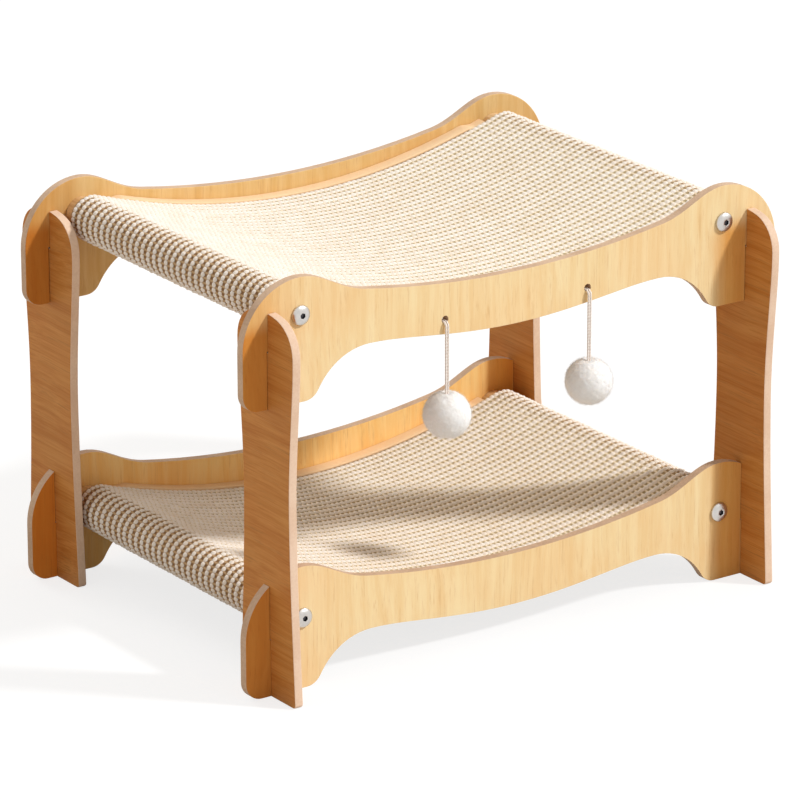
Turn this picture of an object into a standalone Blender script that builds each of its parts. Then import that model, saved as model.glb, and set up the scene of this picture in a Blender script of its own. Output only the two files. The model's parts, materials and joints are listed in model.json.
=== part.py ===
"""Two-tier cat scratcher bed: sisal mats slung between rods in a frame of slotted boards, with two ball toys.

Metres. X runs along the bed, Y across it and Z up. The front is at -Y, and the feet stand on z = 0 under the
bed's middle.
"""

import math

import bmesh
import bpy
from mathutils import Matrix, Vector

# Boards, and the play between pieces that touch
BOARD = 0.0075
FIT = 0.0003

# Overall frame
SIDE_LENGTH = 0.5064
BED_WIDTH = 0.304
LEG_FROM_END = 0.0259
TIER_RISE = 0.2323
LAP_HEIGHT = 0.046

# Side board: wavy outline, heights above its own bottom edge
DIP_HEIGHT = 0.0667
DIP_RADIUS = 0.82
HUMP_HEIGHT = 0.0995
HUMP_RADIUS = 0.0521
HUMP_FOOT_DISTANCE = 0.0593
HUMP_EASE_LOW = 0.025
HUMP_EASE_HIGH = 0.021
TAB_FLAT = 0.042
TAB_CORNER = 0.014
ARCH_SHOULDER = 0.0595
ARCH_CROWN_HEIGHT = 0.0347
ARCH_MIDDLE_HEIGHT = 0.0242
ARCH_EASE_TAB = 0.018
ARCH_EASE_OUTER = 0.022
ARCH_EASE_INNER = 0.036
ARCH_EASE_MIDDLE = 0.062
ARCH_TAB_ANGLE = math.radians(60)

# Leg board: foot, waist, shoulder and domed top
LEG_ABOVE_TIER = 0.0765
FOOT_WIDTH = 0.0747
FOOT_CORNER = 0.003
FOOT_LEAN = 0.0028
FOOT_EASE = 0.052
WAIST_WIDTH = 0.0617
WAIST_HEIGHT = 0.160
WAIST_EASE_DOWN = 0.050
WAIST_EASE_UP = 0.045
SHOULDER_WIDTH = 0.0753
SHOULDER_STRAIGHT = 0.0045
SHOULDER_EASE = 0.024
LEG_CROWN_RADIUS = 0.070
LEG_CORNER = 0.027

# Rods, and the mats slung between them
ROD_RADIUS = 0.014
ROD_LOWER_HEIGHT = 0.0580
ROD_UPPER_HEIGHT = 0.0695
ROLL_TO_LEG = 0.0031
BACKING = 0.0022
SISAL = 0.0025
MAT_SAG = 0.0155
EDGE_STRIP = 0.0115
SLEEVE_WRAP = math.radians(285)
SLEEVE_STEP = math.radians(15)

# Bolts and the inserts that they screw into
HEAD_RADIUS = 0.008
HEAD_HEIGHT = 0.004
HEAD_RIM = 0.0009
SOCKET_FLATS = 0.004
SOCKET_DEPTH = 0.0022
BOLT_RADIUS = 0.003
BOLT_IN_ROD = 0.014
INSERT_WALL = 0.0012
INSERT_LENGTH = 0.013
BORE_SPARE = 0.002

# Toys: a ball on a doubled string from a hole in the upper front board
TOY_SPACING = 0.1357
HOLE_HEIGHT = 0.0400
HOLE_PLAY = 0.00115
STRAND_RADIUS = 0.0009
STRAND_OFF_BOARD = 0.0018
STRAND_BEND = 0.0036
HINGE_PLAY = 0.0001
BALL_RADIUS = 0.01925
BALL_DROP = 0.076
BALL_KNOT_RADIUS = 0.0034
BALL_KNOT_RECESS = 0.00185
STOPPER_HOLD = 0.0013

# Values that follow from the sizes above
END_X = SIDE_LENGTH / 2
SIDE_Y = BED_WIDTH / 2 + BOARD / 2
OUTER_FACE_Y = BED_WIDTH / 2 + BOARD
LEG_X = END_X - LEG_FROM_END
LEG_HEIGHT = TIER_RISE + LEG_ABOVE_TIER
SLOT_WIDTH = BOARD + 2 * FIT
SLEEVE_RADIUS = (ROD_RADIUS + FIT) / math.cos(SLEEVE_STEP / 2)
ROLL_RADIUS = SLEEVE_RADIUS + BACKING + FIT + SISAL
ROD_X = LEG_X - BOARD / 2 - ROLL_TO_LEG - ROLL_RADIUS
ROD_LENGTH = BED_WIDTH - 2 * FIT
BOLT_HOLE_RADIUS = BOLT_RADIUS + FIT
INSERT_RADIUS = BOLT_HOLE_RADIUS + INSERT_WALL
ROD_BORE_RADIUS = INSERT_RADIUS + FIT
HOLE_Z = TIER_RISE + HOLE_HEIGHT
STRAND_Y = -OUTER_FACE_Y - STRAND_OFF_BOARD - STRAND_RADIUS
STRAND_SPACING = 2 * STRAND_RADIUS + FIT
STRANDS_RADIUS = STRAND_SPACING / 2 + STRAND_RADIUS
HOLE_RADIUS = STRANDS_RADIUS + HOLE_PLAY
STOPPER_RADIUS = HOLE_RADIUS + STOPPER_HOLD
STRAND_ORBIT = HOLE_RADIUS - STRAND_RADIUS - FIT
NECK_Z = HOLE_Z - math.sqrt(STRAND_ORBIT**2 - (STRAND_SPACING / 2) ** 2)
PIVOT_Z = NECK_Z - STRAND_BEND
HINGE_GAP = STRAND_RADIUS + HINGE_PLAY
BALL_Z = HOLE_Z - BALL_DROP
BALL_KNOT_Z = BALL_Z - BALL_RADIUS + BALL_KNOT_RECESS + BALL_KNOT_RADIUS

# Facets
ARC_STEP = math.radians(5)
SMALL_ARC_STEP = math.radians(10)
DIP_PARTS = 8
CURVE_PARTS = 12
SAG_PARTS = 16
LEAN_ROUNDS = 20
ROD_SIDES = 24
HEAD_SIDES = 16
DOME_PARTS = 4
BORE_SIDES = 12
TOY_HOLE_SIDES = 24
NECK_PARTS = 6
BALL_SIDES = 20
BALL_RINGS = 12
KNOT_SIDES = 12
KNOT_RINGS = 8
CORD_POINT_STEP = 0.0042
CUT_SPARE = 0.002

MAPLE = ((0.85, 0.62, 0.34), 0.5, 0.0)
DARK_MAPLE = ((0.76, 0.52, 0.26), 0.55, 0.0)
PINE = ((0.80, 0.62, 0.40), 0.6, 0.0)
CANVAS = ((0.78, 0.66, 0.48), 0.85, 0.0)
TAPE = ((0.90, 0.72, 0.50), 0.7, 0.0)
SISAL_YARN = ((0.88, 0.80, 0.64), 0.9, 0.0)
STEEL = ((0.72, 0.72, 0.74), 0.25, 1.0)
ZINC = ((0.60, 0.58, 0.52), 0.4, 1.0)
FELT = ((0.88, 0.85, 0.84), 0.95, 0.0)
STRING = ((0.90, 0.87, 0.84), 0.8, 0.0)


def clear_scene():
    for obj in list(bpy.data.objects):
        bpy.data.objects.remove(obj, do_unlink=True)


def material(name, finish):
    """A Principled material of this colour, roughness and metallic value."""
    color, roughness, metallic = finish
    result = bpy.data.materials.new(name)
    result.use_nodes = True
    shader = result.node_tree.nodes["Principled BSDF"]
    shader.inputs["Base Color"].default_value = (*color, 1.0)
    shader.inputs["Roughness"].default_value = roughness
    shader.inputs["Metallic"].default_value = metallic
    result.diffuse_color = (*color, 1.0)
    return result


def link(name, mesh, finish=None):
    obj = bpy.data.objects.new(name, mesh)
    bpy.context.scene.collection.objects.link(obj)
    if finish is not None:
        mesh.materials.clear()
        mesh.materials.append(material(name + "_finish", finish))
    return obj


def mesh_from(name, build):
    """A mesh made by build(bm), with its faces pointing out."""
    mesh = bpy.data.meshes.new(name)
    bm = bmesh.new()
    build(bm)
    bmesh.ops.recalc_face_normals(bm, faces=bm.faces)
    bm.to_mesh(mesh)
    bm.free()
    return mesh


def shade_round(obj, sharp_angle=35):
    obj.data.shade_smooth()
    obj.data.set_sharp_from_angle(angle=math.radians(sharp_angle))


def arc(centre, radius, start, end, step=ARC_STEP):
    """Points on an arc in a plane, from angle start to angle end, both included."""
    parts = max(2, math.ceil(abs(end - start) / step - 1e-6))
    turns = [start + (end - start) * i / parts for i in range(parts + 1)]
    return [(centre[0] + radius * math.cos(a), centre[1] + radius * math.sin(a)) for a in turns]


def bezier(a, b, c, d, parts=CURVE_PARTS):
    """Points on a cubic Bezier curve, both ends included."""
    points = []
    for i in range(parts + 1):
        t = i / parts
        s = 1 - t
        weights = (s**3, 3 * s * s * t, 3 * s * t * t, t**3)
        points.append(tuple(sum(w * p[k] for w, p in zip(weights, (a, b, c, d))) for k in (0, 1)))
    return points


def joined(*runs):
    """One list of points from runs whose ends meet, each point once."""
    points = []
    for run in runs:
        for p in run:
            if not points or math.dist(p, points[-1]) > 1e-6:
                points.append(p)
    return points


def mirrored(half):
    """A closed outline from its right half, which runs from the middle's top to the middle's bottom."""
    return half + [(-x, z) for x, z in reversed(half) if x > 1e-6]


def prism(name, outline, place, depth):
    """A board of this outline: place(u, v, w) is the point at outline (u, v) and at depth w, 0 to depth."""

    def build(bm):
        rings = [[bm.verts.new(place(u, v, w)) for u, v in outline] for w in (0.0, depth)]
        bm.faces.new(rings[0])
        bm.faces.new(list(reversed(rings[1])))
        count = len(outline)
        for i in range(count):
            j = (i + 1) % count
            bm.faces.new((rings[0][i], rings[1][i], rings[1][j], rings[0][j]))

    return mesh_from(name, build)


def turned(name, profile, sides):
    """A solid turned round Z from (radius, z) points that start and end on the axis."""

    def build(bm):
        turns = [2 * math.pi * i / sides for i in range(sides)]
        rings = []
        for radius, z in profile:
            around = turns if radius > 0.0 else turns[:1]
            rings.append([bm.verts.new((radius * math.cos(a), radius * math.sin(a), z)) for a in around])
        for low, high in zip(rings, rings[1:]):
            for i in range(sides):
                j = (i + 1) % sides
                corners = [low[i % len(low)], low[j % len(low)], high[j % len(high)], high[i % len(high)]]
                bm.faces.new(list(dict.fromkeys(corners)))

    return mesh_from(name, build)


def ring_turned(name, profile, sides):
    """A ring turned round Z from a closed (radius, z) outline that stays off the axis."""

    def build(bm):
        turns = [2 * math.pi * i / sides for i in range(sides)]
        rings = []
        for radius, z in profile:
            rings.append([bm.verts.new((radius * math.cos(a), radius * math.sin(a), z)) for a in turns])
        for low, high in zip(rings, rings[1:] + rings[:1]):
            for i in range(sides):
                j = (i + 1) % sides
                bm.faces.new((low[i], low[j], high[j], high[i]))

    return mesh_from(name, build)


def along_y(mesh, x, y, z, toward):
    """Turns a mesh made along +Z so that it runs along toward * Y from this point."""
    turn = Matrix.Rotation(math.radians(-90 * toward), 4, "X")
    mesh.transform(Matrix.Translation((x, y, z)) @ turn)
    return mesh


def box_into(bm, low, high):
    size = Vector(high) - Vector(low)
    centre = (Vector(high) + Vector(low)) / 2
    bmesh.ops.create_cube(bm, size=1.0, matrix=Matrix.Translation(centre) @ Matrix.Diagonal((*size, 1.0)))


def drill_into(bm, radius, x, z, y_low, y_high, sides=BORE_SIDES):
    """A drill along Y, whose facets lie outside the given radius."""
    turn = Matrix.Translation((x, (y_low + y_high) / 2, z)) @ Matrix.Rotation(math.radians(90), 4, "X")
    reach = radius / math.cos(math.pi / sides)
    bmesh.ops.create_cone(
        bm, cap_ends=True, segments=sides, radius1=reach, radius2=reach, depth=y_high - y_low, matrix=turn
    )


def cut(obj, build, sharp_angle=35):
    """Cuts obj by the shapes that build(bm) makes, and shades what is left."""
    cutter = link(obj.name + "_cutter", mesh_from(obj.name + "_cutter", build))
    cutter.hide_render = True
    cutter.display_type = "WIRE"
    modifier = obj.modifiers.new("cut", "BOOLEAN")
    modifier.operation = "DIFFERENCE"
    modifier.solver = "EXACT"
    modifier.object = cutter
    bpy.context.view_layer.update()
    graph = bpy.context.evaluated_depsgraph_get()
    result = bpy.data.meshes.new_from_object(obj.evaluated_get(graph))
    obj.modifiers.clear()
    obj.data = result
    bpy.data.objects.remove(cutter, do_unlink=True)
    shade_round(obj, sharp_angle)


def side_outline():
    """The side board's outline, x along the bed and z above its own bottom edge."""
    hump_x = END_X - HUMP_RADIUS
    hump_z = HUMP_HEIGHT - HUMP_RADIUS
    dip_x = hump_x - HUMP_FOOT_DISTANCE
    dip_angle = math.asin(dip_x / DIP_RADIUS)
    dip_end = (dip_x, DIP_HEIGHT + DIP_RADIUS * (1 - math.cos(dip_angle)))
    low_x = HUMP_EASE_LOW * math.cos(dip_angle)
    low_z = HUMP_EASE_LOW * math.sin(dip_angle)
    dip_centre = (0.0, DIP_HEIGHT + DIP_RADIUS)
    lowest = -math.pi / 2
    dip = arc(dip_centre, DIP_RADIUS, lowest, lowest + dip_angle, dip_angle / DIP_PARTS)
    rise = bezier(
        dip_end,
        (dip_end[0] + low_x, dip_end[1] + low_z),
        (hump_x - HUMP_EASE_HIGH, HUMP_HEIGHT),
        (hump_x, HUMP_HEIGHT),
    )
    hump = arc((hump_x, hump_z), HUMP_RADIUS, math.pi / 2, 0.0)
    outer = arc((END_X - TAB_CORNER, TAB_CORNER), TAB_CORNER, 0.0, -math.pi / 2, SMALL_ARC_STEP)
    tab_x = END_X - TAB_CORNER - TAB_FLAT
    inner = arc((tab_x, TAB_CORNER), TAB_CORNER, -math.pi / 2, -math.pi / 2 - ARCH_TAB_ANGLE, SMALL_ARC_STEP)
    leave = inner[-1]
    crown = (tab_x - ARCH_SHOULDER, ARCH_CROWN_HEIGHT)
    shoulder = bezier(
        leave,
        (
            leave[0] - ARCH_EASE_TAB * math.cos(ARCH_TAB_ANGLE),
            leave[1] + ARCH_EASE_TAB * math.sin(ARCH_TAB_ANGLE),
        ),
        (crown[0] + ARCH_EASE_OUTER, crown[1]),
        crown,
    )
    arch = bezier(
        crown,
        (crown[0] - ARCH_EASE_INNER, crown[1]),
        (ARCH_EASE_MIDDLE, ARCH_MIDDLE_HEIGHT),
        (0.0, ARCH_MIDDLE_HEIGHT),
    )
    return mirrored(joined(dip, rise, hump, outer, inner, shoulder, arch))


def leg_outline():
    """The leg board's outline, its half width across and z above the floor."""
    crown_z = LEG_HEIGHT - LEG_CROWN_RADIUS
    corner_x = SHOULDER_WIDTH / 2 - LEG_CORNER
    inner_reach = LEG_CROWN_RADIUS - LEG_CORNER
    lean = math.asin(corner_x / inner_reach)
    corner_z = crown_z + inner_reach * math.cos(lean)
    crown = arc((0.0, crown_z), LEG_CROWN_RADIUS, math.pi / 2, math.pi / 2 - lean)
    corner = arc((corner_x, corner_z), LEG_CORNER, math.pi / 2 - lean, 0.0, SMALL_ARC_STEP)
    shoulder = (SHOULDER_WIDTH / 2, corner_z - SHOULDER_STRAIGHT)
    waist = (WAIST_WIDTH / 2, WAIST_HEIGHT)
    foot = (FOOT_WIDTH / 2, FOOT_CORNER)
    upper = bezier(
        shoulder, (shoulder[0], shoulder[1] - SHOULDER_EASE), (waist[0], waist[1] + WAIST_EASE_UP), waist
    )
    lower = bezier(
        waist, (waist[0], waist[1] - WAIST_EASE_DOWN), (foot[0] - FOOT_LEAN, foot[1] + FOOT_EASE), foot
    )
    toe = arc((foot[0] - FOOT_CORNER, FOOT_CORNER), FOOT_CORNER, 0.0, -math.pi / 2, 3 * SMALL_ARC_STEP)
    return mirrored(joined(crown, corner, upper, lower, toe, [(0.0, 0.0)]))


def side_board(name, level, side, toy_holes):
    """A side board at this height, on the front (side -1) or the back (side +1), with its slots and holes."""
    upper = level > 0
    rod_z = level + (ROD_UPPER_HEIGHT if upper else ROD_LOWER_HEIGHT)
    y = side * SIDE_Y - BOARD / 2
    mesh = prism(name, side_outline(), lambda u, v, w: (u, y + w, v + level), BOARD)
    board = link(name, mesh, MAPLE if side < 0 else DARK_MAPLE)
    low = y - CUT_SPARE
    high = y + BOARD + CUT_SPARE
    slot_low = level - CUT_SPARE if upper else LAP_HEIGHT
    slot_high = level + LAP_HEIGHT if upper else HUMP_HEIGHT + CUT_SPARE

    def openings(bm):
        for end in (-1, 1):
            middle = end * LEG_X
            box_into(
                bm,
                (middle - SLOT_WIDTH / 2, low, slot_low),
                (middle + SLOT_WIDTH / 2, high, slot_high),
            )
            drill_into(bm, BOLT_HOLE_RADIUS, end * ROD_X, rod_z, low, high)
            if toy_holes:
                drill_into(bm, HOLE_RADIUS, end * TOY_SPACING / 2, HOLE_Z, low, high, TOY_HOLE_SIDES)

    cut(board, openings)
    return board


def leg_board(name, end, side):
    """A leg across the side boards at one corner, slotted from below and from above."""
    x = end * LEG_X - BOARD / 2
    middle = side * SIDE_Y
    mesh = prism(name, leg_outline(), lambda u, v, w: (x + w, middle + u, v), BOARD)
    leg = link(name, mesh, MAPLE)
    low = x - CUT_SPARE
    high = x + BOARD + CUT_SPARE

    def slots(bm):
        for bottom, top in (
            (-CUT_SPARE, LAP_HEIGHT + FIT),
            (TIER_RISE + LAP_HEIGHT - FIT, LEG_HEIGHT + CUT_SPARE),
        ):
            box_into(bm, (low, middle - SLOT_WIDTH / 2, bottom), (high, middle + SLOT_WIDTH / 2, top))

    cut(leg, slots)
    return leg


def cross_rod(name, x, z):
    """A rod between the side boards, bored at both ends for its inserts."""
    half = ROD_LENGTH / 2
    floor = half - max(INSERT_LENGTH, BOLT_IN_ROD) - BORE_SPARE
    right = [(ROD_RADIUS, half), (ROD_BORE_RADIUS, half), (ROD_BORE_RADIUS, floor), (0.0, floor)]
    profile = [(r, -y) for r, y in reversed(right)] + right
    mesh = turned(name, profile, ROD_SIDES)
    rod = link(name, along_y(mesh, x, 0.0, z, 1), PINE)
    shade_round(rod)
    return rod


def hanging_line(rod_z):
    """The mat's top surface from one rolled end over the sag to the other, as (x, z, normal x, normal z).

    The sag is a parabola that meets both rolls smoothly, where the roll's radius leans inward by one angle.
    Each round of the first loop brings that angle closer.
    """
    lean = 0.0
    for _ in range(LEAN_ROUNDS):
        tangent_x = ROD_X - ROLL_RADIUS * math.sin(lean)
        lean = math.atan(2 * (ROLL_RADIUS * math.cos(lean) + MAT_SAG) / tangent_x)
    tangent_x = ROD_X - ROLL_RADIUS * math.sin(lean)
    right = []
    parts = round((SLEEVE_WRAP + lean) / SLEEVE_STEP)
    for i in range(parts + 1):
        turn = SLEEVE_WRAP - (SLEEVE_WRAP + lean) * i / parts
        out = math.sin(turn)
        up = math.cos(turn)
        right.append((ROD_X + ROLL_RADIUS * out, rod_z + ROLL_RADIUS * up, out, up))
    steep = math.tan(lean) / (2 * tangent_x)
    sag = []
    for i in range(1, SAG_PARTS):
        x = tangent_x * (1 - 2 * i / SAG_PARTS)
        slope = 2 * steep * x
        length = math.hypot(1.0, slope)
        sag.append((x, rod_z - MAT_SAG + steep * x * x, -slope / length, 1.0 / length))
    left = [(-x, z, -nx, nz) for x, z, nx, nz in reversed(right)]
    return right + sag + left


def layer(name, rod_z, outer_depth, thickness, y_low, y_high, finish):
    """A layer of a mat, from outer_depth below its top surface, and from y_low to y_high across."""
    line = hanging_line(rod_z)
    outline = [(x - nx * outer_depth, z - nz * outer_depth) for x, z, nx, nz in line]
    inner = outer_depth + thickness
    outline += [(x - nx * inner, z - nz * inner) for x, z, nx, nz in reversed(line)]

    def build(bm):
        count = len(line)
        rings = [[bm.verts.new((x, y, z)) for x, z in outline] for y in (y_low, y_high)]
        for i in range(2 * count):
            j = (i + 1) % (2 * count)
            bm.faces.new((rings[0][i], rings[0][j], rings[1][j], rings[1][i]))
        for ring in rings:
            for i in range(count - 1):
                bm.faces.new((ring[i], ring[i + 1], ring[2 * count - 2 - i], ring[2 * count - 1 - i]))

    piece = link(name, mesh_from(name, build), finish)
    shade_round(piece, 50)
    return piece


def mat(tier, rod_z):
    """A mat of one tier: its backing, and on it the sisal between two edge strips."""
    half = BED_WIDTH / 2 - FIT
    strip_inner = half - EDGE_STRIP
    sisal_half = strip_inner - FIT
    layer(tier + "_mat_backing", rod_z, SISAL + FIT, BACKING, -half, half, CANVAS)
    layer(tier + "_mat_sisal", rod_z, 0.0, SISAL, -sisal_half, sisal_half, SISAL_YARN)
    layer(tier + "_mat_edge_front", rod_z, 0.0, SISAL, -half, -strip_inner, TAPE)
    layer(tier + "_mat_edge_back", rod_z, 0.0, SISAL, strip_inner, half, TAPE)


def bolt(name, x, z, side):
    """A domed bolt from outside the board into the rod, its hex socket in the head."""
    reach = BOARD + FIT + BOLT_IN_ROD
    profile = [(0.0, -reach), (BOLT_RADIUS, -reach), (BOLT_RADIUS, FIT), (HEAD_RADIUS, FIT)]
    for i in range(DOME_PARTS):
        turn = math.pi / 2 * i / DOME_PARTS
        profile.append((HEAD_RADIUS * math.cos(turn), HEAD_RIM + (HEAD_HEIGHT - HEAD_RIM) * math.sin(turn)))
    mesh = turned(name, profile + [(0.0, HEAD_HEIGHT)], HEAD_SIDES)
    screw = link(name, mesh, STEEL)

    def socket(bm):
        bmesh.ops.create_cone(
            bm,
            cap_ends=True,
            segments=6,
            radius1=SOCKET_FLATS / math.sqrt(3),
            radius2=SOCKET_FLATS / math.sqrt(3),
            depth=2 * SOCKET_DEPTH,
            matrix=Matrix.Translation((0.0, 0.0, HEAD_HEIGHT)),
        )

    cut(screw, socket)
    along_y(screw.data, x, side * OUTER_FACE_Y, z, side)
    return screw


def insert(name, x, z, side):
    """A threaded insert in a rod's end."""
    profile = [
        (BOLT_HOLE_RADIUS, 0.0),
        (INSERT_RADIUS, 0.0),
        (INSERT_RADIUS, INSERT_LENGTH),
        (BOLT_HOLE_RADIUS, INSERT_LENGTH),
    ]
    mesh = ring_turned(name, profile, HEAD_SIDES)
    start = side * (ROD_LENGTH / 2 - INSERT_LENGTH)
    sleeve = link(name, along_y(mesh, x, start, z, side), ZINC)
    shade_round(sleeve)
    return sleeve


def knot(name, radius, centre, parent):
    """A tight round knot of string."""

    def build(bm):
        bmesh.ops.create_uvsphere(bm, u_segments=KNOT_SIDES, v_segments=KNOT_RINGS, radius=radius)
        bmesh.ops.rotate(bm, verts=bm.verts, matrix=Matrix.Rotation(math.radians(90), 3, "X"))

    piece = link(name, mesh_from(name, build), STRING)
    piece.parent = parent
    piece.matrix_parent_inverse = Matrix.Translation(-parent.location)
    piece.location = centre
    shade_round(piece, 60)
    return piece


def strand(name, points, parent):
    """A string along these points, a tube with closed ends."""
    curve = bpy.data.curves.new(name, "CURVE")
    curve.dimensions = "3D"
    curve.bevel_depth = STRAND_RADIUS
    curve.bevel_resolution = 2
    curve.use_fill_caps = True
    spline = curve.splines.new("POLY")
    spline.points.add(len(points) - 1)
    for point, place in zip(spline.points, points):
        point.co = (*place, 1.0)
    curve.materials.append(material(name + "_finish", STRING))
    piece = bpy.data.objects.new(name, curve)
    bpy.context.scene.collection.objects.link(piece)
    piece.parent = parent
    piece.matrix_parent_inverse = Matrix.Translation(-parent.location)
    return piece


def pivot(name, place):
    empty = bpy.data.objects.new(name, None)
    empty.empty_display_size = 0.01
    empty.location = place
    bpy.context.scene.collection.objects.link(empty)
    return empty


def neck_points(x):
    """A strand's way from the stopper knot through the hole and over its lip."""
    start_y = -BED_WIDTH / 2
    bend_y = STRAND_Y + STRAND_BEND
    points = [(x, start_y, NECK_Z), (x, (start_y + bend_y) / 2, NECK_Z)]
    for i in range(NECK_PARTS + 1):
        turn = math.pi / 2 * i / NECK_PARTS
        points.append((x, bend_y - STRAND_BEND * math.sin(turn), PIVOT_Z + STRAND_BEND * math.cos(turn)))
    return points


def hanging_points(x):
    """A strand's way straight down from under the lip into the ball."""
    top = PIVOT_Z - HINGE_GAP
    bottom = BALL_KNOT_Z + BALL_KNOT_RADIUS + FIT
    parts = max(2, round((top - bottom) / CORD_POINT_STEP))
    return [(x, STRAND_Y, top + (bottom - top) * i / parts) for i in range(parts + 1)]


def ball(name, x, parent):
    """A ball, bored down its middle for the string and recessed below for the knot."""

    def build(bm):
        bmesh.ops.create_uvsphere(bm, u_segments=BALL_SIDES, v_segments=BALL_RINGS, radius=BALL_RADIUS)

    piece = link(name, mesh_from(name, build), FELT)

    def bores(bm):
        string_radius = STRANDS_RADIUS + FIT
        ceiling = BALL_KNOT_Z - BALL_Z + BALL_KNOT_RADIUS + FIT
        knot_radius = BALL_KNOT_RADIUS + FIT
        reach = BALL_RADIUS + CUT_SPARE
        profile = [(0.0, -reach), (knot_radius, -reach), (knot_radius, ceiling)]
        profile += [(string_radius, ceiling), (string_radius, reach), (0.0, reach)]
        widen = 1 / math.cos(math.pi / KNOT_SIDES)
        shape = turned(name + "_bores", [(r * widen, z) for r, z in profile], KNOT_SIDES)
        bm.from_mesh(shape)
        bpy.data.meshes.remove(shape)

    cut(piece, bores, 50)
    piece.parent = parent
    piece.matrix_parent_inverse = Matrix.Translation(-parent.location)
    piece.location = (x, STRAND_Y, BALL_Z)
    return piece


def toy(name, end):
    """One toy: its stopper knot and necks turn in the hole, and its strands and ball swing from the lip."""
    x = end * TOY_SPACING / 2
    stopper_y = -BED_WIDTH / 2 + FIT + STOPPER_RADIUS
    turning = pivot(name + "_sway_axis", (x, -SIDE_Y, HOLE_Z))
    swinging = pivot(name + "_swing_axis", (x, STRAND_Y, PIVOT_Z))
    swinging.parent = turning
    swinging.matrix_parent_inverse = Matrix.Translation(-turning.location)
    knot(name + "_stopper_knot", STOPPER_RADIUS, (x, stopper_y, HOLE_Z), turning)
    for label, shift in (("left", -STRAND_SPACING / 2), ("right", STRAND_SPACING / 2)):
        strand(f"{name}_neck_{label}", neck_points(x + shift), turning)
        strand(f"{name}_strand_{label}", hanging_points(x + shift), swinging)
    knot(name + "_ball_knot", BALL_KNOT_RADIUS, (x, STRAND_Y, BALL_KNOT_Z), swinging)
    ball(name + "_ball", x, swinging)


def build_bed():
    clear_scene()
    sides = (("front", -1), ("back", 1))
    ends = (("left", -1), ("right", 1))
    tiers = (("lower", 0.0, ROD_LOWER_HEIGHT), ("upper", TIER_RISE, ROD_UPPER_HEIGHT))
    for tier, level, rod_height in tiers:
        rod_z = level + rod_height
        for side_name, side in sides:
            side_board(f"{tier}_{side_name}_board", level, side, tier == "upper" and side < 0)
        mat(tier, rod_z)
        for end_name, end in ends:
            cross_rod(f"{tier}_{end_name}_rod", end * ROD_X, rod_z)
            for side_name, side in sides:
                where = f"{tier}_{side_name}_{end_name}"
                bolt(where + "_bolt", end * ROD_X, rod_z, side)
                insert(where + "_insert", end * ROD_X, rod_z, side)
    for side_name, side in sides:
        for end_name, end in ends:
            leg_board(f"{side_name}_{end_name}_leg", end, side)
    for end_name, end in ends:
        toy(f"{end_name}_toy", end)


build_bed()
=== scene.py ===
"""Two-tier cat scratcher bed, dressed: sisal mats slung between rods in a frame of slotted boards.

Metres. X runs along the bed, Y across it and Z up. The front is at -Y, where two ball toys hang.
"""

import json
import logging
import math
from abc import ABC, abstractmethod
from collections.abc import Callable, Mapping, Sequence
from dataclasses import dataclass
from enum import Enum
from typing import ClassVar

import bmesh
import bpy
import numpy as np
from mathutils import Matrix, Vector
from mathutils import noise as field_noise


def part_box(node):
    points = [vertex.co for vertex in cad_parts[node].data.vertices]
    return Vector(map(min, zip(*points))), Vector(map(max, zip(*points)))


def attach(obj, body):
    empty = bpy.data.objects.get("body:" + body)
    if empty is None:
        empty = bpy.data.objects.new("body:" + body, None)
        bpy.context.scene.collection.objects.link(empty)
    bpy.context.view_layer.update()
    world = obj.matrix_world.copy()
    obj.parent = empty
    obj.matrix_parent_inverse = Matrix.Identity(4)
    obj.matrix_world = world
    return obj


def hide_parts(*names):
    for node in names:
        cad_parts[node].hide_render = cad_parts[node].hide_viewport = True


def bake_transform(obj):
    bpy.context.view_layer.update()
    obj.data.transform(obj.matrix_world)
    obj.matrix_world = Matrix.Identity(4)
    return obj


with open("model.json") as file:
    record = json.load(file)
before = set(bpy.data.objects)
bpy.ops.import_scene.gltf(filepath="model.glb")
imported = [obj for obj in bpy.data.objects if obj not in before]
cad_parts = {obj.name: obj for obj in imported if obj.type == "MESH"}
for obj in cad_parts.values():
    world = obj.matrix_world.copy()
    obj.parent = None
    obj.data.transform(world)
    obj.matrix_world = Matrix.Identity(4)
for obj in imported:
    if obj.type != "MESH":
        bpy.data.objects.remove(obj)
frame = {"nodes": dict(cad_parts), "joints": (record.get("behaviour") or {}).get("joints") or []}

LOG = logging.getLogger("cat_bed")
Rgb = tuple[float, float, float]
Point = tuple[float, float, float]
Span = tuple[float, float]
Piece = bpy.types.Object
Mesh = bpy.types.Mesh
Material = bpy.types.Material
Socket = bpy.types.NodeSocket


def from_screen(red: int, green: int, blue: int) -> Rgb:
    """Turns a colour written as screen values from 0 to 255 into linear light."""
    shares = (red / 255, green / 255, blue / 255)
    return tuple(c / 12.92 if c <= 0.04045 else ((c + 0.055) / 1.055) ** 2.4 for c in shares)


class Side(Enum):
    """The front or the back of the bed, as the sign of Y."""

    FRONT = -1
    BACK = 1


class End(Enum):
    """The left or the right end of the bed, as the sign of X."""

    LEFT = -1
    RIGHT = 1


class Tier(Enum):
    """The lower or the upper bunk."""

    LOWER = "lower"
    UPPER = "upper"


class Grain(Enum):
    """The direction that a board's grain runs in, as noise scales along X, Y and Z."""

    UPRIGHT = (1.0, 1.0, 0.045)
    ACROSS = (1.0, 0.024, 1.0)


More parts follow.
